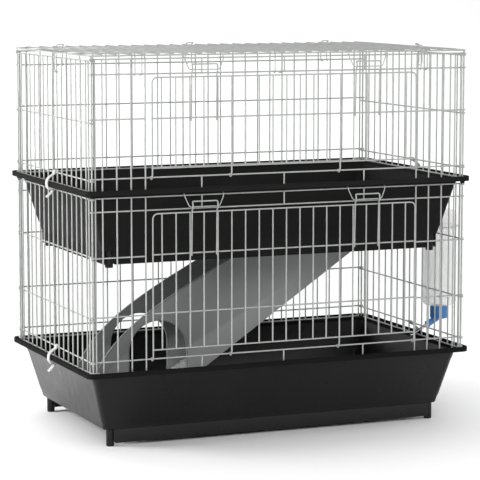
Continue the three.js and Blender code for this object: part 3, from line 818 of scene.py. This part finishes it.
def rail(shape, place, z, left, right, eye=None, out=FRONT):
    """Inner rail. Where `eye` gives the rod's (along, out), the end is curled round that rod."""
    inner = out - INSET
    ends = []
    for end, sign in ((left, -1), (right, 1)):
        if eye is None or abs(end) < abs(eye[0]):
            ends.append([(end, inner)])
            continue
        curl = arc(eye[0], eye[1], EYE, -75, 150, 10)
        jog = [(eye[0] - EYE_RUN[0], inner), (eye[0] - EYE_RUN[1], eye[1] - EYE + 0.1)]
        ends.append([(sign * a, o) for a, o in [*jog, *curl]])
    flat = [*reversed(ends[0]), *ends[1]]
    path = [place(a, o, z) for a, o in flat]
    if len(ends[0]) == 1 and len(ends[1]) == 1:
        path = straight(path[0], path[1], RAIL_LEAN)
    tube(shape, path)


def uprights(shape, place, alongs, out, low, high):
    """Upright bars from `low` to `high`."""
    for along in alongs:
        tube(shape, straight(place(along, out, low), place(along, out, high)))


def corner_foot(shape, sx, sy, front_end, side_start, z):
    """Wire bent round the outside of a corner at the foot of a panel."""
    side_x, front_y = SIDE + INSET, FRONT + INSET
    corners = [
        (sx * side_x, sy * side_start, z),
        (sx * side_x, sy * front_y, z),
        (sx * front_end, sy * front_y, z),
    ]
    tube(shape, bent(corners, 9, 7), binormal=(0, 0, 1))


def bars(first, last, pitch):
    """Evenly spaced places, counted from the middle."""
    return [i * pitch for i in range(first, last + 1)]


def long_section(shape, place, alongs, left, right, level):
    """Bars and rails of the back, or of the part of the front beside the door."""
    low, high = level["foot"], level["top"]
    uprights(shape, place, alongs, FRONT, low - OVERSHOOT, high + OVERSHOOT)
    inner_ends = (max(left, -END_X - 1), min(right, END_X + 1))
    rail(shape, place, low, *inner_ends)
    heights = (level["sill"], *level["rails"], level["head"], high)
    for z in heights:
        rail(shape, place, z, left, right, ROD)
    crossings(shape, place, alongs, FRONT, (low, *heights))


for storey, level in LEVELS.items():
    back = Shape()
    long_section(
        back, on_long(1), [-END_X, *bars(-13, 13, PITCH), END_X], -BEYOND, BEYOND, level)
    piece(f"{storey}_back_panel", "wires", back, "coated_wire")

    beside = bars(11, 13, PITCH)
    left_part = Shape()
    long_section(left_part, on_long(-1), [-END_X, *[-x for x in beside], JAMBS[0]],
                 -BEYOND, JAMBS[0] + OVERSHOOT, level)
    corner_foot(left_part, -1, -1, *CORNER_FEET[storey])
    piece(f"{storey}_front_left_section", "wires", left_part, "coated_wire")
    right_part = Shape()
    long_section(right_part, on_long(-1), [JAMBS[1], *beside, END_X],
                 JAMBS[1] - OVERSHOOT, BEYOND, level)
    corner_foot(right_part, 1, -1, *CORNER_FEET[storey])
    piece(f"{storey}_front_right_section", "wires", right_part, "coated_wire")

    front = on_long(-1)
    for name, low, high in (
        ("front_header", level["head"], level["top"]),
        ("front_sill", level["foot"], level["sill"]),
    ):
        strip = Shape()
        rail(strip, front, low, *JAMBS)
        rail(strip, front, high, *JAMBS)
        uprights(strip, front, STUBS, FRONT, low - OVERSHOOT, high + OVERSHOOT)
        crossings(strip, front, STUBS, FRONT, (low, high))
        piece(f"{storey}_{name}", "wires", strip, "coated_wire")

    for side, sign in (("left", -1), ("right", 1)):
        place = on_short(sign)
        panel = Shape()
        alongs = [-END_Y, *bars(-7, 7, SIDE_PITCH), END_Y]
        heights = (level["side_sill"], *level["side_rails"], level["side_top"])
        uprights(panel, place, alongs, SIDE, level["foot"] - OVERSHOOT, level["side_top"] + OVERSHOOT)
        rail(panel, place, level["foot"], -END_Y - 1, END_Y + 1, None, SIDE)
        for z in heights:
            rail(panel, place, z, -BEYOND, BEYOND, (ROD[1], ROD[0]), SIDE)
        crossings(panel, place, alongs, SIDE, (level["foot"], *heights))
        corner_foot(panel, sign, 1, *CORNER_FEET[storey])
        piece(f"{storey}_{side}_panel", "wires", panel, "coated_wire")

    for corner, (sx, sy) in CORNERS.items():
        rod = Shape()
        at = (sx * ROD[0], sy * ROD[1])
        foot, top = level["foot"], level["rod_top"]
        path = [(*at, foot - ROD_BELOW), (*at, (foot + top) / 2), (*at, top)]
        tube(rod, path, ROD_RADIUS, sides=14)
        piece(f"{storey}_corner_rod_{corner}", "wire", rod, "clip_wire")


# ------------------------------------------------------------------ roof
def roof():
    """Edge wire, three rails and the cross bars that lie on them."""
    shape = Shape()
    edge = rounded_loop(ROOF_X, ROOF_Y, ROOF_ROUND, ROOF_Z, ROOF_CORNER_STEPS)
    tube(shape, edge, closed=True, binormal=(0, 0, 1))
    for y in ROOF_RAILS:
        tube(shape, straight((-ROOF_X, y, ROOF_Z), (ROOF_X, y, ROOF_Z), RAIL_LEAN))
    top = ROOF_Z + INSET
    for x in bars(-13, 13, PITCH):
        tube(shape, straight((x, -ROOF_Y - 1, top), (x, ROOF_Y + 1, top)))
        for y in (-ROOF_Y, *ROOF_RAILS, ROOF_Y):
            weld(shape, Vector((x, y, ROOF_Z + INSET / 2)))
    piece("roof_panel", "wires", shape, "coated_wire")


roof()


# ------------------------------------------------------------------ doors, catches and bails
def hinge_hook(shape, x, bottom, sill):
    """Wire carried down from the door and curled round the sill wire it turns on."""
    path = [
        (x, -DOOR_PLANE, bottom + 9),
        (x, -DOOR_PLANE, bottom),
        (x, -DOOR_PLANE, sill + 8),
        (x, -DOOR_PLANE + 1.2, sill + 4.4),
        *((x, y, z) for y, z in arc(-HINGE_OUT, sill, HOOK_EYE, 180, 400, 12)),
    ]
    tube(shape, path, HOOK_WIRE, binormal=(1, 0, 0), sides=12)


def catch(shape, x, bar_z, foot):
    """One wire: up beside a door bar, curled forward, across and down beside another bar."""
    half = [(CATCH_LEG, 0.6, foot - bar_z), *((CATCH_LEG, out, up) for out, up in CATCH_CURL)]
    left = [Vector((x - a, -DOOR_PLANE - out, bar_z + up)) for a, out, up in half]
    right = [Vector((x + a, -DOOR_PLANE - out, bar_z + up)) for a, out, up in half]
    tube(shape, bent([*left, *reversed(right)], 3.6, 4))


def door(storey):
    """A door with its hinge hooks. The lower door's catches are of one piece with it."""
    spec, level = DOORS[storey], LEVELS[storey]
    shape = Shape()
    place = on_long(-1)
    foot, top = spec["bottom"], spec["top"]
    outline = [(DOOR_LEFT, foot - OVERSHOOT), (DOOR_LEFT, top), (DOOR_RIGHT, top),
               (DOOR_RIGHT, foot - OVERSHOOT)]
    hoop = [place(x, DOOR_PLANE, z) for x, z in outline]
    tube(shape, bent(hoop, DOOR_CORNER, 8), binormal=(0, 1, 0))
    bar_xs = [DOOR_FIRST_BAR + i * DOOR_PITCH for i in range(-DOOR_BARS, DOOR_BARS + 1)]
    for x in bar_xs:
        tube(shape, straight(place(x, DOOR_PLANE, foot - OVERSHOOT), place(x, DOOR_PLANE, top)))
    heights = (foot, *spec["rails"])
    for z in heights:
        rail(shape, place, z, DOOR_LEFT - 1, DOOR_RIGHT + 1, None, DOOR_PLANE)
    crossings(shape, place, [DOOR_LEFT, *bar_xs, DOOR_RIGHT], DOOR_PLANE, heights)
    for x in DOOR_HOOKS:
        hinge_hook(shape, x, foot, level["sill"])
    bar_z = level["top"] - BAIL_DROP
    for side, x in BAILS.items():
        wire = shape if storey == "lower" else Shape()
        catch(wire, x, bar_z, spec["catch_foot"])
        if storey == "upper":
            piece(f"upper_door_catch_{side}", "wire", wire, "coated_wire")
    piece(f"{storey}_door", "wires", shape, "coated_wire")


def bail(storey, side, x):
    """Bail whose low bar turns in the catch and whose tips lie over the panel's top wire."""
    top = LEVELS[storey]["top"]
    bar_z = top - BAIL_DROP
    tip = top + WIRE + 0.9 + CLIP_WIRE
    arm = [*((a, FRONT + out, tip + up) for a, out, up in BAIL_ARM),
           (BAIL_BAR_HALF, BAIL_OUT, bar_z)]
    half = [[Vector((x + s * a, -out, z)) for a, out, z in arm] for s in (-1, 1)]
    shape = Shape()
    tube(shape, bent([*half[0], *reversed(half[1])], 4.2, 6), CLIP_WIRE)
    piece(f"{storey}_bail_{side}", "wire", shape, "clip_wire")


for storey in LEVELS:
    door(storey)
    for side, x in BAILS.items():
        bail(storey, side, x)


# ------------------------------------------------------------------ clips
def roof_clip(name, place):
    """One wire: hooked under the head wire, up, over the roof's edge wire, across and back down."""
    eye, foot = ROOF_CLIP_EYE, ROOF_CLIP_FOOT
    over = [(d, ROOF_Z + z) for d, z in arc(0, 0, eye, 0, 115, 6)]
    leg = [
        (eye - 10.1, foot, ROOF_CLIP_LEG - 3.2),
        (eye - 6.6, foot, ROOF_CLIP_LEG - 0.7),
        (eye - 2.4, foot + 1.2, ROOF_CLIP_LEG),
        (eye, foot + 7, ROOF_CLIP_LEG),
        *((d, z, ROOF_CLIP_LEG) for d, z in over),
        (-7.5, ROOF_Z + 8, ROOF_CLIP_LEG),
    ]
    left = [place(d, -s, z) for d, z, s in leg]
    right = [place(d, s, z) for d, z, s in leg]
    shape = Shape()
    tube(shape, bent([*left, *reversed(right)], 3, 3), CLIP_WIRE)
    piece(name, "wire", shape, "clip_wire")


for side, x in ROOF_CLIPS.items():
    for face, sign in (("front", -1), ("back", 1)):
        roof_clip(f"roof_clip_{face}_{side}",
                  lambda d, s, z, x=x, sign=sign: Vector((x + s, sign * (ROOF_Y + d), z)))
for side, sign in (("left", -1), ("right", 1)):
    roof_clip(f"roof_clip_side_{side}",
              lambda d, s, z, sign=sign: Vector((sign * (ROOF_X + d), ROOF_CLIP_SIDE + s, z)))


def tray_clip(storey, side, sign):
    """Springy strap that turns on the side panel's sill wire and hooks under the tray's rim."""
    axis, z0 = SIDE - TRAY_CLIP_IN, LEVELS[storey]["side_sill"]
    strap = [*arc(0, 0, TRAY_CLIP_EYE, 150, -50, 10), *TRAY_CLIP_STRAP]
    section = strip_section(TRAY_CLIP_WIDTH, TRAY_CLIP_THICK, 0.8)
    shape = Shape()
    for path in (strap, TRAY_CLIP_TAB):
        points = [Vector((sign * (axis + out), TRAY_CLIP_Y, z0 + up)) for out, up in path]
        sweep(shape, bent(points, 4, 3), section, binormal=(0, 1, 0), rounding=0.5)
    piece(f"{storey}_tray_clip_{side}", "strap", shape, "white_plastic")


for storey in LEVELS:
    for side, sign in (("left", -1), ("right", 1)):
        tray_clip(storey, side, sign)


# ------------------------------------------------------------------ ramp
def tread_height(x):
    """Height of the tread's lower face."""
    return RAMP_FOOT + (x - TREAD_FOOT_X) * (RAMP_HEAD - RAMP_FOOT) / (TREAD_HEAD_X - TREAD_FOOT_X)


def back_edge(steps):
    """The curved upper edge of a cheek, from the ramp's head down to its toe."""
    a, b, c, d = (Vector(p) for p in ((HEAD_X, RAMP_HEAD), *CHEEK_BEND, (RAMP_TOE, RAMP_FOOT)))
    points = []
    for i in range(steps + 1):
        t = i / steps
        u = 1 - t
        points.append(a * u ** 3 + b * (3 * u * u * t) + c * (3 * u * t * t) + d * t ** 3)
    return [(p.x, p.y) for p in points]


def ramp():
    """Two cheeks with beaded edges and a ribbed tread between them."""
    shape = Shape()
    x, z, r = ARCH
    arch = [(x - r, RAMP_FOOT), *arc(x, z, r, 180, 0, 24), (x + r, tread_height(x + r) + 0.5)]
    curve = back_edge(40)
    outline = [*curve, *arch, (TREAD_HEAD_X, RAMP_HEAD)]
    for low, high in ((RAMP_NEAR, RAMP_NEAR + RAMP_WALL), (RAMP_FAR - RAMP_WALL, RAMP_FAR)):
        plate(shape, list(reversed(outline)), low, high, 0.9)
        y = (low + high) / 2
        bead = [Vector((a, y, b)) for a, b in curve]
        inward = bead[1:-1]
        section = strip_section(RAMP_WALL + 3.4, 3.2, 1.4)
        sweep(shape, inward, section, binormal=(0, 1, 0), rounding=0.6)
        arch_path = [Vector((a, y, b)) for a, b in arch]
        arch_path[0].z += 2
        sweep(shape, arch_path, section, binormal=(0, 1, 0), rounding=0.6)
    slope = math.atan2(RAMP_HEAD - RAMP_FOOT, TREAD_HEAD_X - TREAD_FOOT_X)
    across = RAMP_WALL / math.sin(slope)
    tread = [(TREAD_FOOT_X - across, RAMP_FOOT), (TREAD_FOOT_X, RAMP_FOOT),
             (TREAD_HEAD_X, RAMP_HEAD), (TREAD_HEAD_X - across, RAMP_HEAD)]
    plate(shape, tread, RAMP_NEAR + 1, RAMP_FAR - 1, 0.8)
    up = Vector((-math.sin(slope), 0, math.cos(slope)))
    along = Vector((math.cos(slope), 0, math.sin(slope)))
    length = (RAMP_HEAD - RAMP_FOOT) / math.sin(slope)
    start = Vector((TREAD_FOOT_X - across, 0, RAMP_FOOT))
    for i in range(1, int(length / TREAD_RIB_PITCH)):
        base = start + along * (i * TREAD_RIB_PITCH) + up * 0.6
        path = [base + Vector((0, RAMP_NEAR + RAMP_WALL + 6, 0)),
                base + Vector((0, RAMP_FAR - RAMP_WALL - 6, 0))]
        sweep(shape, path, circle(TREAD_RIB, 8), rounding=1.0)
    piece("ramp", "moulding", shape, "grey_plastic", 38)


ramp()


# ------------------------------------------------------------------ drinking bottle
def bottle():
    """Blown bottle, neck down: the outside from the base to the neck, then back up the inside."""
    r, inner_r = BOTTLE_RADIUS, BOTTLE_RADIUS - BOTTLE_WALL
    neck, thread, bore = NECK_RADIUS, NECK_RADIUS + THREAD, NECK_RADIUS - BOTTLE_WALL
    profile = [
        (4, 512), (r - 16, 512), (r - 8, 510.4), (r - 3, 506.5), (r - 0.8, 501.5), (r, 494),
        (r, 277), (r - 1, 269.5), (r - 4, 263.8), (r - 10, 260.4), (r - 18, 259),
        (neck + 2, 258.9), (neck, 257), (neck, 251), (thread, 250), (neck, 249),
        (neck, 245), (thread, 244), (neck, 243), (neck, 238), (neck - 0.4, 237),
        (bore, 237), (bore, 260), (r - 18, 261), (r - 10.5, 262.2), (r - 5.2, 265.2),
        (r - 2.4, 270.4), (inner_r, 277), (inner_r, 380), (inner_r, 493),
        (r - 2.6, 500), (r - 5, 505), (r - 9, 508.6), (r - 16, 510.5), (4, 510.5),
    ]
    shape = Shape()
    turned(shape, profile, (*BOTTLE, 0), 56)
    piece("water_bottle", "blown", shape, "clear_plastic", 50)


def spout_at(t):
    """Point on the drinking tube's axis."""
    return SPOUT_FROM.lerp(SPOUT_TO, t)


def cap():
    """Fluted cap with an elbow and a collar for the drinking tube."""
    r, bore = CAP_RADIUS, CAP_RADIUS - 2.6
    profile = [(3, 225), (r - 4, 225), (r - 1.5, 226), (r - 0.4, 228), (r, 229), (r, 255.6),
               (r - 0.5, 258), (r - 1.2, 258.6), (r - 2.4, 258.6), (bore, 256), (bore, 227.6),
               (3, 227.6)]
    shape = Shape()
    turned(shape, profile, (*BOTTLE, 0), 72, flutes=CAP_FLUTES)
    bend = [spout_at(-0.2), spout_at(-0.27), Vector((BOTTLE[0] - 7, BOTTLE[1], 226.4)),
            Vector((*BOTTLE, 226.8))]
    tube(shape, [spout_at(0.24), spout_at(0.1), *bent(bend, 6, 5)], ELBOW_RADIUS, sides=24)
    collar = [(4.75, -2), (8.6, -2), (9.3, -1), (9.3, 1.6), (8.6, 2.6), (4.75, 2.6)]
    turned(shape, collar, spout_at(0.18), 28, True, SPOUT_TURN)
    piece("bottle_cap", "moulding", shape, "blue_plastic", 38)


def drinking_tube():
    """Steel tube, drawn in at the tip to hold the ball."""
    start = spout_at(-0.13)
    length = (SPOUT_TO - start).length
    profile = [(3.6, 0), (SPOUT_RADIUS, 0), (SPOUT_RADIUS, length - 5), (4.4, length - 3.4),
               (4.0, length - 1.4), (3.4, length - 0.3), (3.0, length), (2.7, length - 0.3),
               (3.0, length - 1.4), (3.6, length - 3)]
    shape = Shape()
    turned(shape, profile, start, 28, True, SPOUT_TURN)
    piece("drinking_tube", "drawn", shape, "steel", 50)


def drinking_ball():
    """Ball that closes the tip of the tube until it is licked back."""
    steps = 10
    angles = [math.pi * i / steps for i in range(1, steps)]
    profile = [(BALL_RADIUS * math.sin(a), -BALL_RADIUS * math.cos(a)) for a in angles]
    centre = SPOUT_TO + (SPOUT_FROM - SPOUT_TO).normalized() * BALL_BACK
    shape = Shape()
    turned(shape, profile, centre, 20, False, SPOUT_TURN)
    piece("drinking_ball", "polished", shape, "steel", 60)


def seal():
    """Rubber ring between the cap and the bottle's neck."""
    profile = [(10.2, 228), (10, 228.3), (10, 230.4), (10.2, 230.7), (17.8, 230.7), (18, 230.4),
               (18, 228.3), (17.8, 228)]
    shape = Shape()
    turned(shape, profile, (*BOTTLE, 0), 36, True)
    piece("bottle_seal", "ring", shape, "rubber", 50)


def holder():
    """Wire loop round the bottle with both ends hooked up against the side panel."""
    reach, z = HOLDER_REACH, HOLDER_Z
    loop = [(x, y, z) for x, y in arc(*BOTTLE, BOTTLE_RADIUS + HOLDER_SLACK, -125, 125, 40)]
    ends = []
    for side in (-1, 1):
        y = BOTTLE[1] + side * HOLDER_END
        ends.append([(reach + 0.2, y, z + 16), (reach, y, z + 1), (reach + 5, y + side * 3, z)])
    shape = Shape()
    tube(shape, bent([*ends[0], *loop, *reversed(ends[1])], 4, 2), HOLDER_WIRE)
    piece("bottle_holder", "wire", shape, "clip_wire")


bottle()
cap()
drinking_tube()
drinking_ball()
seal()
holder()


# ------------------------------------------------------------------ stage, light and camera
def stage_material(name, colour):
    """Matt paper with the faintest unevenness."""
    n = Nodes(name)
    tone = n.ramp(n.noise(0.6, 2), tuple(c * 0.985 for c in colour), colour)
    roughness = n.spread(n.noise(2, 2), 0.7, 0.8)
    normal = n.bump(n.noise(200, 2), 0.02, 0.0005)
    return n.finish(tone, roughness, normal)


def cyclorama():
    """Pale floor that curves up into a pale wall behind the cage."""
    turn = FLOOR_BACK - FLOOR_CURVE
    profile = [(FLOOR_FRONT, 0), (turn, 0), *arc(turn, FLOOR_CURVE, FLOOR_CURVE, -90, 0, 16),
               (FLOOR_BACK, BACKDROP_HEIGHT)]
    points = [(x, y, z) for x in (FLOOR_HALF_WIDTH, -FLOOR_HALF_WIDTH) for y, z in profile]
    count = len(profile)
    faces = [(i, i + 1, count + i + 1, count + i) for i in range(count - 1)]
    mesh = bpy.data.meshes.new("studio_floor")
    mesh.from_pydata(points, [], faces)
    for face in mesh.polygons:
        face.use_smooth = True
    mesh.materials.append(stage_material("studio_paper", PAPER))
    floor = bpy.data.objects.new("studio_floor", mesh)
    bpy.context.scene.collection.objects.link(floor)


def area_light(name, place, target, size, power):
    """Rectangular softbox turned towards a target."""
    data = bpy.data.lights.new(name, "AREA")
    data.shape = "RECTANGLE"
    data.size, data.size_y = size
    data.energy = power
    light = bpy.data.objects.new(name, data)
    light.location = place
    light.rotation_euler = (Vector(target) - Vector(place)).to_track_quat("-Z", "Y").to_euler()
    bpy.context.scene.collection.objects.link(light)


cyclorama()
for name, softbox in SOFTBOXES.items():
    area_light(name, *softbox)

world = bpy.data.worlds.new("studio")
world.use_nodes = True
background = world.node_tree.nodes["Background"]
background.inputs["Color"].default_value = (1, 1, 1, 1)
background.inputs["Strength"].default_value = WORLD_STRENGTH
bpy.context.scene.world = world
bpy.context.scene.view_settings.view_transform = "Standard"

camera_data = bpy.data.cameras.new("camera")
camera_data.lens = CAMERA_LENS
camera_data.clip_end = CAMERA_CLIP_END
camera = bpy.data.objects.new("camera", camera_data)
camera.location = CAMERA_AT
camera.rotation_euler = (CAMERA_AIM - CAMERA_AT).to_track_quat("-Z", "Y").to_euler()
bpy.context.scene.collection.objects.link(camera)
bpy.context.scene.camera = camera
